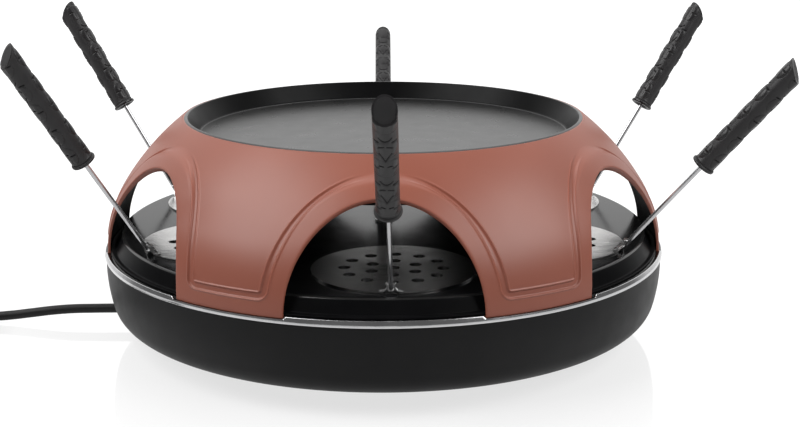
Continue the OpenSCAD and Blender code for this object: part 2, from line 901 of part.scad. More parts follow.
module dome() {
    color([0.65, 0.38, 0.3])
    difference() {
        union() {
            dome_skin(0, dome_t);
            translate([0, 0, dome_top_z - dome_lip_t])
                difference() {
                    cylinder(r = dome_top_r - lip_bury, h = dome_lip_t);
                    translate([0, 0, -CUT])
                        cylinder(r = dome_lip_r, h = dome_lip_t + 2 * CUT);
                }
        }
        for (k = [0 : ARCHES - 1])
            rotate(heading(k)) {
                carried_out(cut_from, cut_to)
                    polygon(arch_outline(0, dome_foot_z - CUT));
                intersection() {
                    dome_skin(-wall_gap, channel_depth);
                    union() {
                        carried_out(cut_from, cut_to)
                            arch_channel();
                        rotate(SECTOR / 2)
                            carried_out(cut_from, cut_to)
                                foot_channel();
                    }
                }
            }
    }
}

module griddle_pan() {
    floor_low = pan_floor_z - pan_t;
    color([0.1, 0.1, 0.1])
    rotate_extrude()
        polygon([
            [0, floor_low],
            [pan_floor_r - pan_corner_r / 3, floor_low],
            [pan_floor_r + pan_t * 1.1, floor_low + pan_corner_r],
            [pan_wall_r + pan_shoulder, pan_rim_z - pan_rim_t],
            [pan_r, pan_rim_z - pan_rim_t],
            [pan_r, pan_rim_z - pan_edge],
            [pan_r - pan_edge, pan_rim_z],
            [pan_wall_r, pan_rim_z],
            [pan_wall_r - pan_roll, pan_rim_z - pan_roll],
            [pan_floor_r + pan_corner_r / 3, pan_floor_z + pan_corner_r * 0.7],
            [pan_floor_r - pan_corner_r / 3, pan_floor_z],
            [0, pan_floor_z]
        ]);
}

// A spatula's own frame: plate in the middle, wire and grip towards +X
module spatula_frame(k) {
    rotate(heading(k) + lay_shift[k])
        translate([plate_at, 0, plate_z])
            rotate(lay_turn[k])
                children();
}

// Along the wire, from where its line meets the plate's edge
module wire_frame(k) {
    translate([plate_r, 0, plate_t / 2])
        rotate([0, 90 - wire_rise[k], 0])
            children();
}

module spatula_plate(k) {
    color([0.6, 0.6, 0.6])
    spatula_frame(k)
        difference() {
            cylinder(r = plate_r, h = plate_t);
            translate([0, 0, -CUT]) {
                cylinder(d = hole_d, h = plate_t + 2 * CUT);
                around(6, hole_ring)
                    cylinder(d = hole_d, h = plate_t + 2 * CUT);
                around(12, 2 * hole_ring)
                    cylinder(d = hole_d, h = plate_t + 2 * CUT);
            }
            translate([plate_r, 0, -CUT])
                cylinder(d = notch_d, h = plate_t + 2 * CUT);
        }
}

module spatula_wire(k) {
    color([0.8, 0.8, 0.8])
    spatula_frame(k) {
        hull() {
            translate([plate_r - foot_l, -foot_w / 2, plate_t])
                cube([foot_l - foot_back, foot_w, foot_t]);
            wire_frame(k)
                translate([0, 0, foot_neck])
                    cylinder(d = foot_neck_d, h = foot_neck_l, $fn = 24);
        }
        wire_frame(k)
            translate([0, 0, foot_neck])
                cylinder(d = wire_d, h = wire_l - foot_neck + wire_in_grip, $fn = 32);
    }
}

// Half width of the grip along its length, lightly waved
function grip_at(s) = grip_r + grip_wave * cos(360 * grip_waves * s / grip_l);

module spatula_grip(k) {
    steps = 8 * grip_waves;
    long = grip_l + grip_r * tan(butt_tilt);
    color([0.17, 0.17, 0.175])
    spatula_frame(k)
        wire_frame(k)
            translate([0, 0, wire_l])
                difference() {
                    rotate_extrude($fn = 48)
                        polygon(concat(
                            [[0, 0], [collar_d / 2 - collar_edge, 0], [collar_d / 2, collar_edge],
                             [collar_d / 2, collar_band]],
                            [for (i = [0 : steps]) let (s = collar_l + (long - collar_l) * i / steps)
                                [grip_at(s), s]],
                            [[0, long]]));
                    translate([0, 0, -CUT])
                        cylinder(d = wire_d + 2 * wire_fit, h = wire_in_grip + wire_end_gap + CUT, $fn = 32);
                    translate([0, 0, grip_l - grip_r * tan(butt_tilt)])
                        rotate([0, butt_tilt, 0])
                            translate([-2 * grip_d, -grip_d, 0])
                                cube([4 * grip_d, 2 * grip_d, 3 * grip_d]);
                }
}

base_bowl();
bottom_cover();
cover_screws();
foot_ring();
rim_trim();
reflector_dish();
lower_heater();
lower_clips();
baking_tray();
heater_post();
post_nut();
heater_spider();
heater_hub();
upper_heater();
thermal_cutout();
terminal_block();
inner_wires();
cord_clamp();
cord_gland();
cord_lead();
cord_coil();
cord_tie();
cord_end();
plug_body();
plug_pins();
dome();
griddle_pan();
for (k = [0 : ARCHES - 1]) {
    spatula_plate(k);
    spatula_wire(k);
    spatula_grip(k);
}
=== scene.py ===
"""Looks of the table-top pizza oven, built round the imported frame. Metres in the scene, +Z up; the pieces are
computed in millimetres, in the same frame, and scaled as they are made."""

import math

import bpy
import numpy as np
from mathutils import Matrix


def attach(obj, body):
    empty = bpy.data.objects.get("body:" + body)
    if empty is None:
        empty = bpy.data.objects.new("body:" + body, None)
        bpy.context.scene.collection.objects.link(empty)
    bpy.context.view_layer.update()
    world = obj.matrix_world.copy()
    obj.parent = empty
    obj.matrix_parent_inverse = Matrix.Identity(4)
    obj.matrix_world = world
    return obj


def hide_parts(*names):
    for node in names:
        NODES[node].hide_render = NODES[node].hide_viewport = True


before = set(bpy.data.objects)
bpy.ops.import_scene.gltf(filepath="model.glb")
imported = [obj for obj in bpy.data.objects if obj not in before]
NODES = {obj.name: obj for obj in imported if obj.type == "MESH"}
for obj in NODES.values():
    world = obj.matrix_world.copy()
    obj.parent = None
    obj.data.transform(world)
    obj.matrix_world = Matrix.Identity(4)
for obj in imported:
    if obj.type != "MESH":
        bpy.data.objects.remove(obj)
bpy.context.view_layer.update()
MM = 0.001

# Camera, fitted to the reference view: place in millimetres, angles in degrees, focal length in pixels

CAMERA_AT = (-1.314, -1062.863, 353.6)
CAMERA_PITCH = 14.207
CAMERA_YAW = 0.718
FOCAL_PX = 1471.445
WIDTH_PX = 800
SENSOR = 36.0

camera = bpy.data.objects.new("camera", bpy.data.cameras.new("camera"))
camera.data.sensor_fit = "HORIZONTAL"
camera.data.sensor_width = SENSOR
camera.data.lens = FOCAL_PX * SENSOR / WIDTH_PX
camera.data.clip_end = 100.0
camera.location = [v * MM for v in CAMERA_AT]
camera.rotation_euler = (math.radians(90 - CAMERA_PITCH), 0, math.radians(-CAMERA_YAW))
bpy.context.scene.collection.objects.link(camera)
bpy.context.scene.camera = camera


# Meshes from arrays


def grid_faces(rows, cols, close_rows=False, close_cols=False, flip=False):
    """Quads of a grid whose point (i, j) is number i * cols + j, joined end to end where it closes."""
    i = np.arange(rows if close_rows else rows - 1)
    j = np.arange(cols if close_cols else cols - 1)
    a, b = np.meshgrid(i, j, indexing="ij")
    c, d = (a + 1) % rows, (b + 1) % cols
    quads = np.stack([a * cols + b, a * cols + d, c * cols + d, c * cols + b], -1).reshape(-1, 4)
    return quads[:, ::-1] if flip else quads


def joined(*meshes):
    """Several (points, faces) pairs as one pair."""
    start = np.cumsum([0] + [len(p) for p, _ in meshes[:-1]])
    return np.concatenate([p for p, _ in meshes]), np.concatenate([f + s for (_, f), s in zip(meshes, start)])


def welded(points, faces, digits=3):
    """Points that coincide made one, so that the shading runs on across the seam."""
    _, first, back = np.unique(np.round(points, digits), axis=0, return_index=True, return_inverse=True)
    return points[first], back.reshape(-1)[faces]


def cap(m, start=0, flip=False):
    """Quads that close a ring of an even number of points, in strips across it."""
    i = np.arange(m // 2 - 1)
    quads = np.stack([i, i + 1, m - 2 - i, m - 1 - i], -1) + start
    return quads[:, ::-1] if flip else quads


def closed(points, faces, m):
    """A tube of rings of m points, with its first and its last ring closed."""
    return points, np.concatenate([faces, cap(m, 0, True), cap(m, len(points) - m)])


def outward(points, faces):
    """A body's faces, all turned over if the volume that they enclose counts as less than nothing."""
    a, b, c, d = (points[faces[:, i]] - points.mean(0) for i in range(4))
    volume = np.einsum("ij,ij->", a, np.cross(b, c)) + np.einsum("ij,ij->", a, np.cross(c, d))
    return points, faces if volume > 0 else faces[:, ::-1]


def build(name, points, faces, body, materials, index=None, sharp=40.0, shade_and_polish=None):
    """A finished smooth-shaded object from points in millimetres and quads, riding on a body."""
    mesh = bpy.data.meshes.new(name)
    mesh.from_pydata((np.asarray(points) * MM).tolist(), [], np.asarray(faces).tolist())
    for m in materials:
        mesh.materials.append(m)
    if index is not None:
        mesh.polygons.foreach_set("material_index", np.asarray(index, np.int32))
    if shade_and_polish is not None:
        mesh.attributes.new("shade_and_polish", "FLOAT", "POINT").data.foreach_set("value", np.asarray(shade_and_polish, np.float32))
    mesh.polygons.foreach_set("use_smooth", np.ones(len(mesh.polygons), bool))
    mesh.set_sharp_from_angle(angle=math.radians(sharp))
    mesh.update()
    obj = bpy.data.objects.new(name, mesh)
    bpy.context.scene.collection.objects.link(obj)
    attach(obj, body)
    return obj


def arc(c, r, start, end, n):
    """n + 1 points on a circle about c, from one angle to another in degrees."""
    a = np.radians(np.linspace(start, end, n + 1))
    return np.asarray(c) + r * np.stack([np.cos(a), np.sin(a)], -1)


def rounded(corners, radii, n=6, hold=0.12):
    """A line through corners, each corner replaced by an arc that touches both its sides. A point close before and
    after each arc keeps the flats beside it flat in the shading."""
    p = np.asarray(corners, float)
    out = [p[:1]]
    for k in range(1, len(p) - 1):
        u, v = p[k - 1] - p[k], p[k + 1] - p[k]
        lu, lv = np.linalg.norm(u), np.linalg.norm(v)
        u, v = u / lu, v / lv
        half = math.acos(np.clip(u @ v, -1, 1)) / 2
        reach = min(radii[k] / math.tan(half), 0.49 * min(lu, lv)) if radii[k] else 0
        if reach == 0:
            out.append(p[k : k + 1])
            continue
        r = reach * math.tan(half)
        mid = (u + v) / np.linalg.norm(u + v)
        c = p[k] + mid * r / math.sin(half)
        a, b = p[k] + u * reach - c, p[k] + v * reach - c
        t = np.linspace(0, 1, n + 1)[:, None]
        span = math.pi - 2 * half
        turned = c + (np.sin((1 - t) * span) * a + np.sin(t * span) * b) / math.sin(span)
        room = reach + hold < 0.5 * min(lu, lv)
        out += [turned[:1] + hold * u, turned, turned[-1:] + hold * v] if room else [turned]
    return np.concatenate(out + [p[-1:]])


def face_radius(points, faces):
    """Mean distance of each face's corners from the Z axis."""
    return np.hypot(points[:, 0], points[:, 1])[faces].mean(1)


def unit(vectors):
    """Vectors in rows, each brought to a length of 1."""
    return vectors / np.linalg.norm(vectors, axis=1, keepdims=True)


def revolve(profile, angles, close=False):
    """Points and quads of a profile of (radius, height), turned about the Z axis through the given angles."""
    r, z = np.asarray(profile, float).T
    a = np.radians(angles)
    points = np.stack([r[:, None] * np.cos(a), r[:, None] * np.sin(a), z[:, None] + 0 * a], -1).reshape(-1, 3)
    return points, grid_faces(len(r), len(a), close_rows=close, close_cols=True)


def sweep(line, radius, sides):
    """A round tube along a line: at each point a ring square to the way the line runs. Both ends are closed."""
    line = np.asarray(line, float)
    way = unit(np.gradient(line, axis=0))
    side = unit(np.cross(way, [0, 0, 1.0]))
    up = np.cross(side, way)
    a = np.linspace(0, 2 * math.pi, sides, endpoint=False)
    ring = np.cos(a)[None, :, None] * side[:, None] + np.sin(a)[None, :, None] * up[:, None]
    points = (line[:, None] + radius * ring).reshape(-1, 3)
    return outward(*closed(points, grid_faces(len(line), sides, close_cols=True), sides))


def smoothstep(low, high, x):
    """0 below low, 1 above high, and a smooth S between them."""
    t = np.clip((x - low) / (high - low), 0, 1)
    return t * t * (3 - 2 * t)


def even(n, extra=()):
    """n even angles round a turn, with some more in between."""
    return np.unique(np.concatenate([np.linspace(0, 360, n, endpoint=False), np.asarray(extra, float) % 360]))


def turn_z(points, degrees):
    """Points turned about the Z axis."""
    c, s = math.cos(math.radians(degrees)), math.sin(math.radians(degrees))
    return points @ np.array([[c, s, 0], [-s, c, 0], [0, 0, 1]])


def turn_y(points, degrees):
    """Points turned about the Y axis."""
    c, s = math.cos(math.radians(degrees)), math.sin(math.radians(degrees))
    return points @ np.array([[c, 0, -s], [0, 1, 0], [s, 0, c]])


# Finishes


def mottle_group():
    """A node group: noise on the given coordinates, spread between a low and a high value."""
    g = bpy.data.node_groups.new("mottle", "ShaderNodeTree")
    g.interface.new_socket("Vector", in_out="INPUT", socket_type="NodeSocketVector")
    for name, value in (("Scale", 100.0), ("Low", 0.0), ("High", 1.0)):
        g.interface.new_socket(name, in_out="INPUT", socket_type="NodeSocketFloat").default_value = value
    g.interface.new_socket("Value", in_out="OUTPUT", socket_type="NodeSocketFloat")
    start, end = g.nodes.new("NodeGroupInput"), g.nodes.new("NodeGroupOutput")
    noise, spread = g.nodes.new("ShaderNodeTexNoise"), g.nodes.new("ShaderNodeMapRange")
    noise.inputs["Detail"].default_value = 3.0
    spread.inputs["From Min"].default_value = 0.3
    spread.inputs["From Max"].default_value = 0.7
    g.links.new(start.outputs["Vector"], noise.inputs["Vector"])
    g.links.new(start.outputs["Scale"], noise.inputs["Scale"])
    g.links.new(noise.outputs["Fac"], spread.inputs["Value"])
    g.links.new(start.outputs["Low"], spread.inputs["To Min"])
    g.links.new(start.outputs["High"], spread.inputs["To Max"])
    g.links.new(spread.outputs["Result"], end.inputs["Value"])
    return g


MOTTLE = mottle_group()
ROUGH_GRAIN = 1.7  # waves of the roughness to one wave of the colour
MARK_DULLS = 0.5  # roughness that a full mark adds


def finish(name, dark, light, rough, metallic=0.0, specular=0.5, grain=60.0, bump=0.0, bump_grain=900.0,
           shaded_marks=False):
    """A finish whose colour and roughness wander between two values, with a finer noise lifting the surface.
    bump is that lift in millimetres, grain and bump_grain the noises' waves per metre. On a piece with shaded marks
    the mesh's own value per point blackens the pressed lines and the ends as painted shade and dulls them, and below
    zero it polishes an edge."""
    m = bpy.data.materials.new(name)
    m.use_nodes = True
    n, link = m.node_tree.nodes, m.node_tree.links.new
    shader = n["Principled BSDF"]
    shader.inputs["Metallic"].default_value = metallic
    shader.inputs["Specular IOR Level"].default_value = specular
    where = n.new("ShaderNodeTexCoord")

    def noise(scale, low, high):
        g = n.new("ShaderNodeGroup")
        g.node_tree = MOTTLE
        g.inputs["Scale"].default_value = scale
        g.inputs["Low"].default_value = low
        g.inputs["High"].default_value = high
        link(where.outputs["Object"], g.inputs["Vector"])
        return g.outputs["Value"]

    mix = n.new("ShaderNodeMix")
    mix.data_type = "RGBA"
    mix.inputs["A"].default_value = (*dark, 1)
    mix.inputs["B"].default_value = (*light, 1)
    link(noise(grain, 0.0, 1.0), mix.inputs["Factor"])
    colour = mix.outputs["Result"]
    dullness = noise(grain * ROUGH_GRAIN, *rough)
    if shaded_marks:
        # painted shade: where the mesh's value is above 0 the colour goes towards black in the grip's pressed lines and
        # on its ends, and the roughness rises with it
        shade_and_polish, painted_line_shade, dull = (n.new(t) for t in ("ShaderNodeAttribute", "ShaderNodeMix", "ShaderNodeMath"))
        shade_and_polish.attribute_name = "shade_and_polish"
        painted_line_shade.data_type = "RGBA"
        painted_line_shade.inputs["B"].default_value = (0.0, 0.0, 0.0, 1)
        dull.operation = "MULTIPLY_ADD"
        dull.inputs[1].default_value = MARK_DULLS
        link(shade_and_polish.outputs["Fac"], painted_line_shade.inputs["Factor"])
        link(colour, painted_line_shade.inputs["A"])
        link(shade_and_polish.outputs["Fac"], dull.inputs[0])
        link(dullness, dull.inputs[2])
        colour, dullness = painted_line_shade.outputs["Result"], dull.outputs["Value"]
    link(colour, shader.inputs["Base Color"])
    link(dullness, shader.inputs["Roughness"])
    if bump:
        lift = n.new("ShaderNodeBump")
        lift.inputs["Strength"].default_value = 1.0
        lift.inputs["Distance"].default_value = bump * MM
        link(noise(bump_grain, 0.0, 1.0), lift.inputs["Height"])
        link(lift.outputs["Normal"], shader.inputs["Normal"])
    return m


TERRACOTTA = finish("terracotta_paint", (0.31, 0.090, 0.055), (0.325, 0.096, 0.059), (0.39, 0.42), specular=0.6,
                    grain=25, bump=0.006, bump_grain=1600)
DOME_INSIDE = finish("dome_inside", (0.003, 0.003, 0.003), (0.005, 0.005, 0.005), (0.4, 0.5), specular=0.12, grain=80)
BLACK_PAINT = finish("black_paint", (0.0105, 0.0105, 0.011), (0.0125, 0.0125, 0.013), (0.42, 0.48), specular=0.16,
                     grain=40, bump=0.004, bump_grain=2500)
CHROME = finish("chrome", (0.62, 0.62, 0.63), (0.74, 0.74, 0.75), (0.13, 0.22), metallic=1.0, grain=30, bump=0.08,
                bump_grain=50)
TRAY_COATING = finish("tray_coating", (0.004, 0.004, 0.0045), (0.006, 0.006, 0.0065), (0.12, 0.15), specular=0.18,
                      grain=50)
TRAY_RISER = finish("tray_riser", (0.004, 0.004, 0.0045), (0.006, 0.006, 0.0065), (0.28, 0.34), specular=0.03,
                    grain=50)
# painted highlight: the plateau's rounded edge, lighter and glossier than the rest of the coating
TRAY_EDGE_HIGHLIGHT = finish("tray_edge", (0.010, 0.010, 0.010), (0.014, 0.014, 0.014), (0.18, 0.24), specular=0.7, grain=50)
PAN_COATING = finish("pan_coating", (0.009, 0.009, 0.009), (0.013, 0.013, 0.013), (0.27, 0.30), specular=0.5,
                     grain=40)
# painted shade: the pan's wall, in the same coating as the floor but darker and less glossy
PAN_WALL_SHADE = finish("pan_wall_shade", (0.0035, 0.0035, 0.0037), (0.005, 0.005, 0.0052), (0.30, 0.36), specular=0.08, grain=40)
POST_STEEL = finish("post_steel", (0.58, 0.58, 0.58), (0.68, 0.68, 0.68), (0.30, 0.38), metallic=1.0, grain=200)
PLATE_STEEL = finish("plate_steel", (0.62, 0.61, 0.60), (0.68, 0.67, 0.66), (0.20, 0.25), metallic=1.0, grain=35,
                     bump=0.22, bump_grain=28)
WIRE_STEEL = finish("chrome_wire", (0.52, 0.52, 0.53), (0.58, 0.58, 0.59), (0.12, 0.15), metallic=0.85, grain=150)
CLIP_STEEL = finish("clip_steel", (0.80, 0.80, 0.80), (0.90, 0.90, 0.90), (0.18, 0.28), metallic=0.78, grain=400,
                    bump=0.12, bump_grain=450)
# the grip's plastic takes painted shade in its pressed lines and on its ends from the mesh's values
GRIP_PLASTIC = finish("grip_plastic", (0.017, 0.016, 0.017), (0.024, 0.023, 0.024), (0.38, 0.46), specular=0.4,
                      grain=120, bump=0.015, bump_grain=1800, shaded_marks=True)
CORD_RUBBER = finish("cord_rubber", (0.010, 0.010, 0.010), (0.014, 0.014, 0.014), (0.45, 0.55), specular=0.3,
                     grain=150, bump=0.01, bump_grain=2500)
HEATER_TUBE = finish("heater_tube", (0.02, 0.019, 0.018), (0.035, 0.032, 0.030), (0.40, 0.55), metallic=0.6, grain=120,
                     bump=0.02, bump_grain=1200)
STEEL = finish("steel", (0.45, 0.45, 0.45), (0.55, 0.55, 0.55), (0.25, 0.4), metallic=1.0, grain=200)
ALUMINIUM = finish("aluminium", (0.62, 0.62, 0.61), (0.70, 0.70, 0.69), (0.22, 0.34), metallic=1.0, grain=60)
RUBBER = finish("rubber", (0.012, 0.012, 0.012), (0.020, 0.020, 0.020), (0.6, 0.75), specular=0.25, grain=150)
BLACK_PLASTIC = finish("black_plastic", (0.012, 0.012, 0.012), (0.018, 0.018, 0.018), (0.45, 0.55), grain=150)
CERAMIC = finish("ceramic", (0.62, 0.60, 0.54), (0.72, 0.70, 0.64), (0.4, 0.55), grain=150)
WIRE_SLEEVE = finish("wire_sleeve", (0.25, 0.03, 0.02), (0.32, 0.045, 0.03), (0.5, 0.6), grain=200)

CAD_FINISH = {
    "bottom_cover": STEEL, "cover_screws": STEEL, "foot_ring": RUBBER, "reflector_dish": ALUMINIUM,
    "lower_heater": HEATER_TUBE, "lower_clips": STEEL, "heater_post": POST_STEEL, "post_nut": STEEL,
    "heater_spider": HEATER_TUBE, "heater_hub": HEATER_TUBE, "upper_heater": HEATER_TUBE, "thermal_cutout": CERAMIC,
    "terminal_block": CERAMIC, "inner_wires": WIRE_SLEEVE, "cord_clamp": BLACK_PLASTIC, "cord_gland": CORD_RUBBER,
    "cord_tie": BLACK_PLASTIC, "plug_body": CORD_RUBBER, "plug_pins": STEEL,
}
for k in range(1, 7):
    CAD_FINISH[f"spatula_{k}_plate"] = PLATE_STEEL
for node, m in CAD_FINISH.items():
    NODES[node].data.materials.clear()
    NODES[node].data.materials.append(m)


# Mains lead: the free stretch, the coil and the end, one tube along the route of the part. Sizes are in millimetres
# from here to the studio; COIL_CLIMB is in turns, and LEAD_STEP is the stretch between two rings of the tube.

CORD_D = 7.0
COIL_AT = (-334.0, -45.95)
COIL_LOW = 4.6
COIL_STEP = 7.6
COIL_IN = 26.0
COIL_TURNS = 5.25
COIL_CLIMB = 0.5
COIL_POINTS = 420
LEAD_STEP = 3.0
LEAD_SIDES = 16
LEAD_ROUTE = [(-190, 0, 11.5), (-205, 0, 11.5), (-220, 0, 11.4), (-235, 0, 11.1), (-250, 0, 10), (-265, 0, 8.2),
              (-280, 0, 6.4), (-295, 0, 5.2), (-310, 0, 4.6), (-327, 0, 4.6)]
END_ROUTE = [(-379.95, -52.95, 12.2), (-379.95, -59.95, 12.2), (-379.9, -70, 12.9), (-379.4, -80, 14.2),
             (-378.2, -92, 15.8), (-376.8, -104, 17.4), (-376, -114, 18.3), (-376, -124, 18.3)]


def coil_line():
    """Middle line of the coil: a spiral that winds in on the lower layer, climbs a layer over half a turn at the
    inmost loop and winds out again; its radius grows by one pitch for each turn away from the climb."""
    t = np.linspace(-COIL_TURNS / 2, COIL_TURNS / 2, COIL_POINTS + 1)
    a = 2 * math.pi * (t - COIL_TURNS / 2) + math.pi
    r = COIL_IN + COIL_STEP * np.abs(t)
    z = COIL_LOW + COIL_STEP * np.clip(t / COIL_CLIMB + 0.5, 0, 1)
    return np.stack([COIL_AT[0] + r * np.cos(a), COIL_AT[1] + r * np.sin(a), z], -1)


def through(points):
    """A smooth line through points: each stretch is the cubic that leaves and meets its ends along the line between
    their neighbours."""
    p = np.asarray(points, float)
    before = np.concatenate([2 * p[:1] - p[1:2], p[:-1]])
    after = np.concatenate([p[1:], 2 * p[-1:] - p[-2:-1]])
    slope = (after - before) / 2
    parts = []
    for k in range(len(p) - 1):
        n = max(2, int(np.linalg.norm(p[k + 1] - p[k]) / LEAD_STEP))
        t = (np.arange(n) / n)[:, None]
        parts.append((2 * t**3 - 3 * t**2 + 1) * p[k] + (t**3 - 2 * t**2 + t) * slope[k]
                     + (3 * t**2 - 2 * t**3) * p[k + 1] + (t**3 - t**2) * slope[k + 1])
    return np.concatenate(parts + [p[-1:]])


lead_line = np.concatenate([through(LEAD_ROUTE)[:-1], coil_line(), through(END_ROUTE)])
lead = build("lead", *sweep(lead_line, CORD_D / 2, LEAD_SIDES), "base", [CORD_RUBBER])
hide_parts("cord_lead", "cord_coil", "cord_end")


# Base: bowl, rim and tray. LEG_HALF is half the angle of a leg of the dome at the rim, LEGS the legs' own angles, and
# WELL_ the hollow under the bowl that the lead's gland lies in.

SEAT = 66.0
BASE_R = 204.0
DOME_R = 202.7
ARCH_A = 63.5
LEG_HALF = 30 - math.degrees(math.asin(ARCH_A / DOME_R))
LEGS = -60.0 + 60.0 * np.arange(6)
STEPS = 240  # points round a plain turned piece
FINE_STEPS = 300  # and round the rim and the tray
WELL_X = (-186.0, -143.0)
WELL_Z = 11.5
WELL_R = 6.6
WELL_TOP = 22.0


def bowl():
    """The bowl turned about Z: a short upright collar, an upright curve, a turn under, a shallow cone and the ledge.
    Where the lead's gland lies, the underside is lifted to the round roof of its well."""
    slope, top, collar, curve, turn = 10.0, 64.8, 8.0, 110.0, 20.0
    foot, ledge, bevel = np.array([140.0, 6.3]), 127.0, 0.3
    c1 = np.array([BASE_R - curve, top - collar])
    cone = np.array([math.cos(math.radians(slope)), math.sin(math.radians(slope))])
    start = foot + turn * np.array([-cone[1], cone[0]]) - c1
    along = start @ cone
    c2 = c1 + start + (math.sqrt(along**2 - start @ start + (curve - turn) ** 2) - along) * cone
    knee = math.degrees(math.atan2(c2[1] - c1[1], c2[0] - c1[0]))
    under = arc(c2, turn, knee, slope - 90, 20)
    share = np.linspace(0, 1, 24)[1:, None]
    outer = np.concatenate([[[BASE_R, top]], arc(c1, curve, 0, knee, 16), under[1:],
                            under[-1] + share * (foot - under[-1]),
                            [[ledge + bevel, foot[1]], [ledge, foot[1] + bevel], [ledge, foot[1] + 1.5]]])
    points, faces = revolve(outer, even(STEPS, 180 + np.linspace(-4.5, 4.5, 61)))
    x, y, z = points.T
    roof = WELL_Z + np.sqrt(np.maximum(WELL_R**2 - y**2, 0))
    inside = (x > WELL_X[0]) & (x < WELL_X[1]) & (np.abs(y) < WELL_R) & (z < roof) & (z < WELL_TOP)
    points[:, 2] = np.where(inside, roof, z)
    return points, faces[:, ::-1]


def rim():
    """The rim turned about Z, its lip stepped down where a leg of the dome stands: the lip's height is 0 over the leg
    and rises smoothly to full past it. With the faces goes a flag for the seat behind the lip, which takes the tray's
    black as painted shade in the gap under the dome's feet."""
    inner, wall, out, lip_in = 192.0, 204.2, 205.0, DOME_R + 0.3
    under, skirt, crest = SEAT - 1.2, SEAT - 2.7, SEAT + 1.8
    profile = rounded([(inner, under), (wall, under), (wall, skirt), (out, skirt), (out - 0.3, SEAT - 0.8),
                       (out - 1.2, crest), (lip_in, crest), (lip_in, SEAT), (inner, SEAT), (inner, under)],
                      [0, 0, 0.2, 0.3, 3.0, 0.8, 0.4, 0.3, 0, 0], 5)
    edge, ramp, flush = LEG_HALF + 0.14, 2.6, SEAT + 0.04
    beside = edge + np.linspace(-0.15, 0.9, 12)
    points, faces = revolve(profile, even(FINE_STEPS, (LEGS[:, None, None] + [-beside, beside]).ravel()))
    x, y, z = points.T
    off = np.abs((np.degrees(np.arctan2(y, x)) - LEGS[0] + 30) % 60 - 30)
    share = smoothstep(0.0, ramp, np.radians(off - edge) * BASE_R)
    across = np.hypot(x, y)
    high = (z > SEAT + 1e-6) & (across > DOME_R)
    low = np.where(high, flush + (z - flush) * np.maximum(share, 0.02), z)
    wider = 1 + np.where(high & (across > lip_in + 0.4), 0.35 * (z - low), 0) / across
    points = np.stack([x * wider, y * wider, low], -1)
    middle = points[faces].mean(1)
    # the seat behind the lip, painted black as shade under the dome's feet
    shaded_seat = (np.hypot(middle[:, 0], middle[:, 1]) < out - 0.9) & (np.abs(middle[:, 2] - SEAT) < 0.3)
    return points, faces, shaded_seat


def tray():
    """The baking tray turned about Z: a level flange, a steep riser and a level plateau, all corners rounded. With
    the faces goes their part: 0 the plateau, 1 the riser and the flange, 2 the edge between them, made lighter and
    glossier as a painted highlight."""
    low, low_up, top, top_under = 66.8, 68.8, 79.0, 77.0
    hole, plateau, plateau_under, riser, riser_under, flange = 6.3, 192.0, 190.4, 197.04, 196.0, 200.4
    edge_in, edge_out = 190.2, 192.4
    profile = rounded([(hole, top_under), (hole, top), (plateau, top), (riser, low_up), (flange, low_up),
                       (flange, low), (riser_under, low), (plateau_under, top_under), (hole, top_under)],
                      [0, 0.3, 3.5, 1.5, 0.8, 0.4, 1.5, 1.5, 0], 8)
    points, faces = outward(*revolve(profile, even(FINE_STEPS)))
    across = face_radius(points, faces)
    return points, faces, np.where(across < edge_in, 0, np.where(across < edge_out, 2, 1))


bowl_obj = build("bowl", *bowl(), "base", [BLACK_PAINT])
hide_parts("base_bowl")
rim_points, rim_faces, rim_seat_shade = rim()
# the rim's seat takes the tray's black as painted shade
rim_obj = build("rim", rim_points, rim_faces, "base", [CHROME, TRAY_COATING], rim_seat_shade, sharp=30)
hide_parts("rim_trim")
tray_points, tray_faces, tray_part = tray()
tray_obj = build("tray", tray_points, tray_faces, "base", [TRAY_COATING, TRAY_RISER, TRAY_EDGE_HIGHLIGHT], tray_part)
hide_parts("baking_tray")


# Dome: one sector, drawn as rings round its arch, and six of them round the middle. Its profile is an arc about C1
# up to JOIN and from there a wider one about C2, which carries on in the same direction to the top edge.

FOOT = 66.2
TOP = 160.2
TOP_R = 146.0
DOME_T = 1.8
ARCH_B = 70.0
ARCH_EDGE = np.array([0.5, 0.12])  # how far the first two rings are rounded down
CORNER_AT = 52.0  # angle round the arch from which the net runs to the top edge
CHANNEL = 13.0
CHANNEL_FOOT = 12.4
CHANNEL_CORNER = 4.0
GROOVE_DEEP = 0.75
GROOVE_HALF = 1.9
GROOVE_LIP = 0.5
GROOVE_LIP_AT = 2.6
HOOD = 2.5
LOW_R = 87.0
TURN = math.radians(32)
LEAN = np.array([math.cos(TURN), math.sin(TURN)])
C1 = np.array([DOME_R - LOW_R, FOOT])
JOIN = C1 + LOW_R * LEAN
SPAN = np.array([TOP_R, TOP]) - JOIN
HIGH_R = float(SPAN @ SPAN / (2 * (SPAN @ -LEAN)))
C2 = JOIN - HIGH_R * LEAN


def dome_radius(z):
    """Outer radius at a height: a lower arc, upright at the foot, and a wider one that carries on from it."""
    low = C1[0] + np.sqrt(np.maximum(LOW_R**2 - (z - C1[1]) ** 2, 0))
    high = C2[0] + np.sqrt(np.maximum(HIGH_R**2 - (z - C2[1]) ** 2, 0))
    return np.where(z < JOIN[1], low, high)


def dome_lean(z):
    """Outward and upward parts of the skin's normal at a height."""
    up = np.where(z < JOIN[1], (z - C1[1]) / LOW_R, (z - C2[1]) / HIGH_R)
    return np.sqrt(1 - up**2), up


def arch_distance(t, z):
    """How far a frontal point lies outside the arch: the growth of both half axes that brings the ellipse to it."""
    g = np.hypot(t, z - FOOT) - ARCH_A
    for _ in range(12):
        f = (t / (ARCH_A + g)) ** 2 + ((z - FOOT) / (ARCH_B + g)) ** 2 - 1
        d = -2 * t**2 / (ARCH_A + g) ** 3 - 2 * (z - FOOT) ** 2 / (ARCH_B + g) ** 3
        g = np.maximum(g - f / np.minimum(d, -1e-9), -5)
    return g


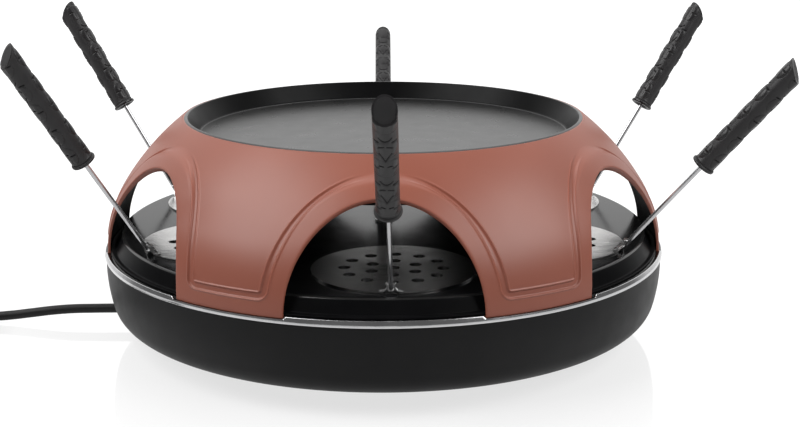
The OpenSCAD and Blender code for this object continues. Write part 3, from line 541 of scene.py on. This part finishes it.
def relief(t, z):
    """Height of the pressing over the plain skin. Across the channel's middle line: a flat-bottomed groove between
    two low lips, narrower further up. It follows the arch and the foot of the leg round a small corner, and dies out
    beside the crown, where the band round the arch stands out as a low hood, with a steep cheek at its sides and a
    soft brow. The angle round the arch is 0 at its foot and 90 at its crown."""
    g = arch_distance(t, z)
    a, b, corner = g - CHANNEL, z - FOOT - CHANNEL_FOOT, CHANNEL_CORNER
    bent = corner - np.hypot(np.maximum(corner - a, 0), np.maximum(corner - b, 0))
    d = np.where((a < corner) & (b < corner), bent, np.minimum(a, b))
    angle = np.degrees(np.arctan2((z - FOOT) / (ARCH_B + g), np.abs(t) / (ARCH_A + g)))
    wide = 1 - 0.3 * smoothstep(12, 60, angle)
    groove = (GROOVE_LIP * np.exp(-(((np.abs(d) - GROOVE_LIP_AT * wide) / 0.55) ** 2))
              - GROOVE_DEEP * np.exp(-((d / (GROOVE_HALF * wide)) ** 6)))
    soft = smoothstep(55, 88, angle)
    hood = HOOD * smoothstep(12, 80, angle) * (1 - smoothstep(-3.4 - 3.2 * soft, 0.5 + 2.0 * soft, a))
    return groove * (1 - smoothstep(56, 84, angle)) + hood


def dome_net():
    """The net over one sector: turn about Z in degrees, height, the number of rows that ring the arch, and the columns
    that reach the top edge. Frontal points (across, height) lie on rings round the arch, then on lines from the last
    ring to the middle of the leg or to the top edge; they are carried to the skin by turning through
    asin(across / radius)."""
    half = np.concatenate([np.linspace(0, 5, 6)[:-1], np.linspace(5, 12, 47)[:-1], np.linspace(12, 18, 9)[:-1],
                           np.linspace(18, CORNER_AT, 21)[:-1], np.linspace(CORNER_AT, 90, 23)])
    theta = np.radians(np.concatenate([half, 180 - half[-2::-1]]))
    grow = np.concatenate([[0, 0.25, 0.7, 1.6, 3, 5, 7, 8.4, 9.1], np.linspace(9.4, 16.6, 31), [17.2]])
    across = (ARCH_A + grow[:, None]) * np.cos(theta)
    height = FOOT + (ARCH_B + grow[:, None]) * np.sin(theta)
    turn = np.degrees(np.arcsin(across / dome_radius(height)))
    corner, crown = math.radians(CORNER_AT), math.pi / 2
    t = np.minimum(theta, math.pi - theta)
    rest = TOP - (FOOT + (ARCH_B + grow[-1]) * math.sin(corner))
    edge_z = np.where(t < corner, height[-1] + rest * np.clip(t / corner, 0, 1) ** 3, TOP)
    edge_turn = np.sign(np.cos(theta)) * np.where(t < corner, 30.0, 30.0 * (crown - t) / (crown - corner))
    w = np.linspace(0, 1, 11)[1:, None]
    turn = np.concatenate([turn, (1 - w) * turn[-1] + w * edge_turn])
    height = np.concatenate([height, (1 - w) * height[-1] + w * edge_z])
    return turn, height, len(grow), np.flatnonzero(t >= corner - 1e-9)


def dome():
    """The dome: six sectors of a painted skin with its relief, the arch's edge, the feet and the brim, and of a plain
    dark skin inside, and over the brim a turned lip. With the faces goes a flag for the dark skin."""
    turn, height, rings, above = dome_net()
    rows, cols = turn.shape
    radius = dome_radius(height)
    lift = relief(radius * np.sin(np.radians(turn)), height)
    lift[: len(ARCH_EDGE)] -= ARCH_EDGE[:, None]

    def skin(offset, keep):
        out, up = dome_lean(height[keep])
        r, z = radius[keep] + offset * out, height[keep] + offset * up
        a = np.radians(turn[keep])
        return np.stack([r * np.cos(a), r * np.sin(a), z], -1).reshape(-1, 3)

    def six(points, faces):
        return welded(*joined(*[(turn_z(points, 60.0 * k - 90), faces) for k in range(6)]))

    every = np.arange(rows)
    keep = np.array([0, 3, 6, rings - 1, rings + 2, rings + 5, rows - 1])
    outer, inner = skin(lift, every), skin(-DOME_T, keep)
    edge = np.concatenate([outer[:cols], inner[:cols]])
    brim = np.concatenate([outer[-cols:][above], inner[-cols:][above]])
    parts = [(outer, grid_faces(rows, cols)), (edge, grid_faces(2, cols, flip=True)),
             (brim, grid_faces(2, len(above)))]
    for column in (0, cols - 1):
        foot_in = np.stack([np.interp(every, keep, line) for line in inner[column::cols].T], -1)
        parts.append((np.concatenate([outer[column::cols], foot_in]), grid_faces(2, rows, flip=column > 0)))
    outside = six(*joined(*parts))
    inside = six(inner, grid_faces(len(keep), cols, flip=True))
    lip = revolve(rounded([(144.4, TOP - 1.7), (146.02, TOP - 0.2), (145.6, TOP + 0.06), (143.5, TOP),
                           (143.5, TOP - 1.5), (144.6, TOP - 1.5)], [0, 0.25, 0.3, 0.2, 0.2, 0], 4),
                  even(STEPS), close=True)
    points, faces = joined(outward(*joined(outside, inside)), outward(*lip))
    return points, faces, np.repeat([0, 1, 0], [len(outside[1]), len(inside[1]), len(lip[1])])


dome_points, dome_faces, dome_index = dome()
dome_obj = build("dome_skin", dome_points, dome_faces, "dome", [TERRACOTTA, DOME_INSIDE], dome_index, sharp=48)
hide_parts("dome")


# Griddle pan


def pan():
    """The pan turned about Z: a level floor, a flared wall and a narrow rim flange that falls away outwards. With the
    faces goes a flag for the wall, which takes a darker copy of the coating as painted shade."""
    rim_z, rim_under, floor_z, floor_under = 161.2, 160.25, 148.2, 146.4
    out, wall, floor, middle, near = 144.7, 142.6, 134.3, 0.02, 0.3
    profile = rounded([(middle, floor_under), (floor + 0.9, floor_under), (wall + 0.6, rim_under), (out, rim_under),
                       (out, rim_z - 0.8), (wall, rim_z), (floor, floor_z), (middle, floor_z)],
                      [0, 3, 0.2, 0.05, 0.05, 1.2, 2.5, 0], 8)
    points, faces = outward(*revolve(profile, even(STEPS), close=True))
    across = face_radius(points, faces)
    return points, faces, (across > floor - near) & (across < wall - near)


pan_points, pan_faces, pan_wall_shade = pan()
pan_obj = build("pan", pan_points, pan_faces, "griddle_pan", [PAN_COATING, PAN_WALL_SHADE], pan_wall_shade, sharp=50)
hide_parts("griddle_pan")


# Spatulas. WIRE_RISE, LAY_SHIFT and LAY_TURN are each one's own angles: of its wire over the plate, of its place round
# the middle from the arch's own angle, and of the handle about the plate. PRESSED and SWELLS are the depth of a line
# and the height of a half-moon; the butt's and the collar end's values are those of the rings that close the grip's
# ends, painted shade above 0 and polish below it.

PLATE_AT = 129.0
PLATE_Z = 79.2
PLATE_R = 55.0
PLATE_T = 1.0
WIRE_D = 3.2
WIRE_L = 83.0
WIRE_SIDES = 32
GRIP_L = 93.0
GRIP_R = 7.1
GRIP_SIDES = 128
COLLAR_R = 8.5
COLLAR_L = 1.6
COLLAR_ROUND = 0.8
COLLAR_FALL = 1.5
COLLAR_POLISHED = 1.4
COLLAR_LINE = 2.7
BUTT_TILT = 35.0
LEANS_FROM = 70.0
PRESSED = 0.6
SWELLS = 0.85
# painted shade on the butt's face and the collar's end face where above 0, polish at their rims where below
BUTT_SHADE_AND_POLISH = (-0.5, -0.3, 0.3, 0.3, 0.3, 0.3, 0.3, 0.3)
UNDER_SHADE_AND_POLISH = (-0.6, -0.3, 0.6, 0.6)
CLIP_T = 0.8
WIRE_RISE = (52, 50, 55, 34, 56, 57)
LAY_SHIFT = (2.8, 1.4, -1.9, 0, 1.6, -2.8)
LAY_TURN = (-5, 5, -3.5, 0, 5, 8)


def laid(points, k):
    """Points of spatula k from its own frame, plate in the middle and handle towards +X, to its place on the tray."""
    return turn_z(turn_z(points, LAY_TURN[k]) + [PLATE_AT, 0, PLATE_Z], -90 + 60 * k + LAY_SHIFT[k])


def along_wire(points, k):
    """Points from the wire's frame, Z along the wire from the plate's edge, to the spatula's frame."""
    return turn_y(points, 90 - WIRE_RISE[k]) + [PLATE_R, 0, PLATE_T / 2]


def stroke(u, s, ends, width):
    """A pressed line between two points of the grip's unrolled face: 1 on the line, falling off as a bell."""
    (u0, s0), (u1, s1) = ends
    du, ds = u1 - u0, s1 - s0
    t = np.clip(((u - u0) * du + (s - s0) * ds) / (du**2 + ds**2), 0, 1)
    return np.exp(-(np.hypot(u - u0 - t * du, s - s0 - t * ds) / width) ** 2)


def grip_marks(u, s):
    """The lines pressed into the faces, which repeat along the grip: a pair of dashes, a V, a second pair and a
    smile."""
    first, pitch = 12.0, 37.0
    v = (s - first) % pitch
    side = np.abs(u)
    dashes = stroke(side, v, ((1.3, 0.0), (3.4, 0.3)), 0.42)
    vee = stroke(side, v, ((0.0, 4.6), (3.5, 11.2)), 0.38)
    brows = stroke(side, v, ((0.9, 16.9), (3.7, 15.8)), 0.38)
    smile = np.exp(-(((v - 21.0 - 0.15 * side**2) / 0.5) ** 2)) * (1 - smoothstep(3.6, 4.4, side))
    on = smoothstep(9, 11, s) * (1 - smoothstep(74, 76, s))
    return on * np.clip(dashes + 0.9 * vee + 0.9 * brows + smile, 0, 1)


def half_moons(u, s):
    """The half-moons along the shoulders, by turns one cut in two and a shorter one cut off at its upper end: how far
    inside one a point lies, the line round it, and the cuts. Between the shoulders they swell on half as high."""
    cut_at, short_at, pitch = 10.9, 26.5, 36.5
    cut_half, short_half, short_cut = 6.8, 5.8, 5.5
    shoulder, deep, thin = 4.4, 4.2, 0.45
    v = (s - cut_at + pitch / 2) % pitch - pitch / 2
    w = (s - short_at + pitch / 2) % pitch - pitch / 2
    q = np.abs(u) - shoulder
    side = np.maximum(q, 0) / deep
    ring = np.minimum(np.hypot(v / cut_half, side), np.hypot(w / short_half, side))
    along = smoothstep(4, 5, s) * (1 - smoothstep(88.5, 89.5, s))
    on = along * smoothstep(-1.5, 0.0, q)
    swell = np.sqrt(np.clip(1 - ring**2, 0, 1)) * (0.5 * along + 0.5 * on)
    line = np.exp(-(((ring - 1) * deep / 0.4) ** 2))
    cut = np.exp(-((v / thin) ** 2)) + np.exp(-(((w - short_cut) / thin) ** 2))
    return swell, on * line, on * np.clip(cut * (1 - smoothstep(deep - 1.2, deep, q)), 0, 1)


def grip_surface(s, a):
    """Radius of the grip at a distance along it and an angle round it: a flared collar, a round body with lines
    pressed into its upper and lower faces and half-moons along their shoulders. With it goes the share of a pressed
    line, which the finish blackens as painted shade, and which is less than 0 where the surface is polished."""
    r = GRIP_R + (COLLAR_R - GRIP_R) * np.exp(-np.maximum(s - COLLAR_L, 0) / COLLAR_FALL)
    bend = COLLAR_ROUND * (np.sqrt(np.clip(1 - (1 - s / COLLAR_ROUND) ** 2, 0, 1)) - 1)
    r = np.where(s < COLLAR_ROUND, COLLAR_R + bend, r)
    lower = np.cos(a) > 0
    face = np.where(lower, a, a - math.pi)
    u = (np.mod(face + math.pi, 2 * math.pi) - math.pi) * GRIP_R
    inside, line, cut = half_moons(u, s)
    inside = np.where(lower, 0.9 * inside, inside)
    ring = np.exp(-(((s - COLLAR_LINE) / 0.45) ** 2))
    # pressed lines, the half-moons' cuts and outlines and the ring behind the collar: pressed in, and blackened by the
    # finish as painted shade
    marks = np.clip(grip_marks(u, s) + 0.9 * cut + 0.2 * line + 0.7 * ring, 0, 1)
    marks = np.where(marks < 0.1, -0.3 * inside, marks)
    marks = np.where(s < COLLAR_POLISHED, -0.55, marks)
    return r - PRESSED * np.maximum(marks, 0) + SWELLS * inside, marks


def grip():
    """The grip in the wire's frame, in rings along it. From a distance on, the rings lean over by and by, until the
    last one lies on the slanting cut of the butt; the ends are closed by rings that shrink to the middle. With the
    faces go the points' marks: painted shade above 0, polish below."""
    n = GRIP_SIDES
    a = np.linspace(0, 2 * math.pi, n, endpoint=False)
    slant = math.tan(math.radians(BUTT_TILT))
    middle = GRIP_L - GRIP_R * slant
    reach = np.full(n, middle)
    for _ in range(16):
        reach = 0.5 * (reach + middle - grip_surface(reach, a)[0] * np.cos(a) * slant)
    s = np.concatenate([np.linspace(0, 7, 24)[:-1], np.linspace(7, GRIP_L, 293)])[:, None]
    s = np.where(s < LEANS_FROM, s, LEANS_FROM + (s - LEANS_FROM) * (reach - LEANS_FROM) / (GRIP_L - LEANS_FROM))
    r, marks = grip_surface(s, a + 0 * s)
    points = np.stack([r * np.cos(a), r * np.sin(a), s], -1).reshape(-1, 3)
    end, start = points[-n:], points[:n]
    shrink, bulge = np.linspace(1, 0.02, len(BUTT_SHADE_AND_POLISH))[:, None, None], np.array([0, 0, 0.35])
    butt = end.mean(0) + (end - end.mean(0)) * shrink + bulge * np.sqrt(1 - shrink**4)
    under = start.mean(0) + (start - start.mean(0)) * np.linspace(1, 0.25, len(UNDER_SHADE_AND_POLISH))[:, None, None]
    butt_faces = np.concatenate([grid_faces(len(butt), n, close_cols=True), cap(n, (len(butt) - 1) * n)])
    under_faces = np.concatenate([grid_faces(len(under), n, close_cols=True), cap(n, (len(under) - 1) * n)])
    points, faces = joined((points, grid_faces(len(s), n, close_cols=True)), (butt.reshape(-1, 3), butt_faces),
                           (under.reshape(-1, 3), under_faces[:, ::-1]))
    return points + [0, 0, WIRE_L], faces, np.concatenate([marks.ravel(), np.repeat(BUTT_SHADE_AND_POLISH + UNDER_SHADE_AND_POLISH, n)])


def wire():
    """The wire in its own frame: a straight round bar from the clip to inside the grip, with a rounded lower end."""
    s = np.concatenate([[4.0, 4.2, 4.8, 5.6], np.linspace(6, WIRE_L + 20, 12)])
    r = np.concatenate([[0.05, 0.9, 1.4, 1.6], np.full(12, WIRE_D / 2)])
    return closed(*revolve(np.stack([r, s], -1), even(WIRE_SIDES)), WIRE_SIDES)


def clip(k):
    """The folded clip at the foot of spatula k's wire: a strip of sheet seen end on, which lies flat beside the wire,
    bends up into a neck on each side of it and ends in two small horns that lean outwards. It leans with the wire,
    whose foot sits in a drop of solder."""
    half = rounded([(7.6, 0.35), (4.4, 0.4), (2.5, 2.6), (1.9, 4.6), (3.0, 7.0)], [0, 1.2, 1.2, 1.2, 0], 6)
    way = unit(np.gradient(half, axis=0))
    normal = np.stack([-way[:, 1], way[:, 0]], -1)
    loop = np.concatenate([half + CLIP_T / 2 * normal, (half - CLIP_T / 2 * normal)[::-1]])
    depth = np.array([-2.8, -2.5, 0.0, 1.0, 1.3])
    shrink = np.array([0.985, 1, 1, 1, 0.985])[:, None, None]
    y, z = np.moveaxis(loop.mean(0) + (loop - loop.mean(0)) * shrink, -1, 0)
    lean = 0.9 / math.tan(math.radians(WIRE_RISE[k]))
    x = PLATE_R - 1 + depth[:, None] + lean * z
    faces = grid_faces(len(depth), len(loop), close_cols=True)
    parts = []
    for side in (1, -1):
        points = np.stack([x, side * y, PLATE_T + z], -1).reshape(-1, 3)
        parts.append(outward(*closed(points, faces, len(loop))))
    drop_sides, drop_size = 24, [1.6, 2.1, 2.1]
    drop, drop_faces = closed(*revolve(arc((0, 0), 1.0, -89, 89, 12), even(drop_sides)), drop_sides)
    return joined(*parts, (drop * drop_size + [PLATE_R + 1.2, 0, PLATE_T + 2.6], drop_faces))


grip_points, grip_quads, grip_shade_and_polish = grip()
bar_points, bar_faces = wire()
for k in range(6):
    name = f"spatula_{k + 1}"
    handle = laid(along_wire(grip_points, k), k)
    grip_obj = build(f"{name}_handle", handle, grip_quads, name, [GRIP_PLASTIC], sharp=50, shade_and_polish=grip_shade_and_polish)
    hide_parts(f"{name}_grip")
    bar = laid(along_wire(bar_points, k), k), bar_faces
    fold_points, fold_faces = clip(k)
    fold = laid(fold_points, k), fold_faces
    steel = np.repeat([0, 1], [len(bar_faces), len(fold_faces)])
    wire_obj = build(f"{name}_bar", *joined(bar, fold), name, [WIRE_STEEL, CLIP_STEEL], steel)
    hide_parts(f"{name}_wire")


# Studio: a pale floor, a white surround and soft lights, in metres. MIRROR_GLOW goes by the distance behind the object,
# BACKDROP_GLOW by how closely a ray runs towards BACKDROP; a lamp has a place, a size and its watts.

FLOOR = [(-12, -6, 0), (12, -6, 0), (12, 30, 0), (-12, 30, 0)]
FLOOR_GREY = 0.27
FLOOR_ROUGH = 0.05
FLOOR_GLOW = 0.72
MIRROR_GLOW = {"From Min": 0.1, "From Max": 0.5, "To Min": 0.55, "To Max": 0.05}
BACKDROP = (0.0, 0.966, 0.259)
BACKDROP_GLOW = {"From Min": 0.35, "From Max": 0.8, "To Min": 0.12, "To Max": 1.0}
LAMPS_AIM = np.array([0, 0, 0.08])
LAMPS = (
    ("key_left", (-1.5, -0.5, 1.72), (1.9, 1.6), 43.0),
    ("key_right", (1.6, -0.78, 1.5), (1.9, 1.3), 33.0),
    ("top", (0.0, 1.2, 2.3), (2.0, 1.2), 9.0),
)


def ramp_node(nodes, ends):
    """A node that carries a value smoothly from one pair of ends to another."""
    node = nodes.new("ShaderNodeMapRange")
    node.interpolation_type = "SMOOTHSTEP"
    for socket, value in ends.items():
        node.inputs[socket].default_value = value
    return node


def math_node(nodes, operation):
    """A node that reckons with two values."""
    node = nodes.new("ShaderNodeMath")
    node.operation = operation
    return node


def floor_finish():
    """The floor's finish: a grey gloss that glows to the camera, and less to mirrors, the less the further back."""
    m = bpy.data.materials.new("floor")
    m.use_nodes = True
    nodes, link = m.node_tree.nodes, m.node_tree.links.new
    shader = nodes["Principled BSDF"]
    shader.inputs["Base Color"].default_value = (FLOOR_GREY, FLOOR_GREY, FLOOR_GREY, 1)
    shader.inputs["Roughness"].default_value = FLOOR_ROUGH
    shader.inputs["Specular IOR Level"].default_value = 0.5
    shader.inputs["Emission Strength"].default_value = 1.0
    path, place, axes = (nodes.new(t) for t in ("ShaderNodeLightPath", "ShaderNodeNewGeometry",
                                                "ShaderNodeSeparateXYZ"))
    fall = ramp_node(nodes, MIRROR_GLOW)
    seen, mirrored, either = (math_node(nodes, t) for t in ("MULTIPLY", "MULTIPLY", "MAXIMUM"))
    seen.inputs[1].default_value = FLOOR_GLOW
    link(path.outputs["Is Camera Ray"], seen.inputs[0])
    link(place.outputs["Position"], axes.inputs["Vector"])
    link(axes.outputs["Y"], fall.inputs["Value"])
    link(path.outputs["Is Glossy Ray"], mirrored.inputs[0])
    link(fall.outputs["Result"], mirrored.inputs[1])
    link(seen.outputs["Value"], either.inputs[0])
    link(mirrored.outputs["Value"], either.inputs[1])
    link(either.outputs["Value"], shader.inputs["Emission Color"])
    return m


def surround():
    """The world: a white backdrop behind the object, dim elsewhere, and plain white where the camera sees it."""
    world = bpy.data.worlds.new("studio")
    bpy.context.scene.world = world
    world.use_nodes = True
    nodes, link = world.node_tree.nodes, world.node_tree.links.new
    nodes.clear()
    where, toward = nodes.new("ShaderNodeTexCoord"), nodes.new("ShaderNodeVectorMath")
    toward.operation = "DOT_PRODUCT"
    toward.inputs[1].default_value = BACKDROP
    spread = ramp_node(nodes, BACKDROP_GLOW)
    path, mix, out = (nodes.new(t) for t in ("ShaderNodeLightPath", "ShaderNodeMixShader", "ShaderNodeOutputWorld"))
    plain, dim = nodes.new("ShaderNodeBackground"), nodes.new("ShaderNodeBackground")
    for shader in (plain, dim):
        shader.inputs["Color"].default_value = (1, 1, 1, 1)
    link(where.outputs["Generated"], toward.inputs[0])
    link(toward.outputs["Value"], spread.inputs["Value"])
    link(spread.outputs["Result"], dim.inputs["Strength"])
    link(path.outputs["Is Camera Ray"], mix.inputs[0])
    link(dim.outputs[0], mix.inputs[1])
    link(plain.outputs[0], mix.inputs[2])
    link(mix.outputs[0], out.inputs["Surface"])


def studio():
    """The floor, the surround and the lamps, which all look at the middle of the base."""
    mesh = bpy.data.meshes.new("floor")
    mesh.from_pydata(FLOOR, [], [(0, 1, 2, 3)])
    mesh.materials.append(floor_finish())
    obj = bpy.data.objects.new("floor", mesh)
    bpy.context.scene.collection.objects.link(obj)
    surround()
    for name, at, size, watts in LAMPS:
        lamp = bpy.data.lights.new(name, "AREA")
        lamp.shape = "RECTANGLE"
        lamp.size, lamp.size_y = size
        lamp.energy = watts
        holder = bpy.data.objects.new(name, lamp)
        holder.location = at
        aim = LAMPS_AIM - np.array(at)
        aim = aim / np.linalg.norm(aim)
        holder.rotation_euler = (math.acos(-aim[2]), 0, math.atan2(-aim[0], aim[1]))
        bpy.context.scene.collection.objects.link(holder)


studio()
bpy.context.scene.view_settings.view_transform = "Standard"
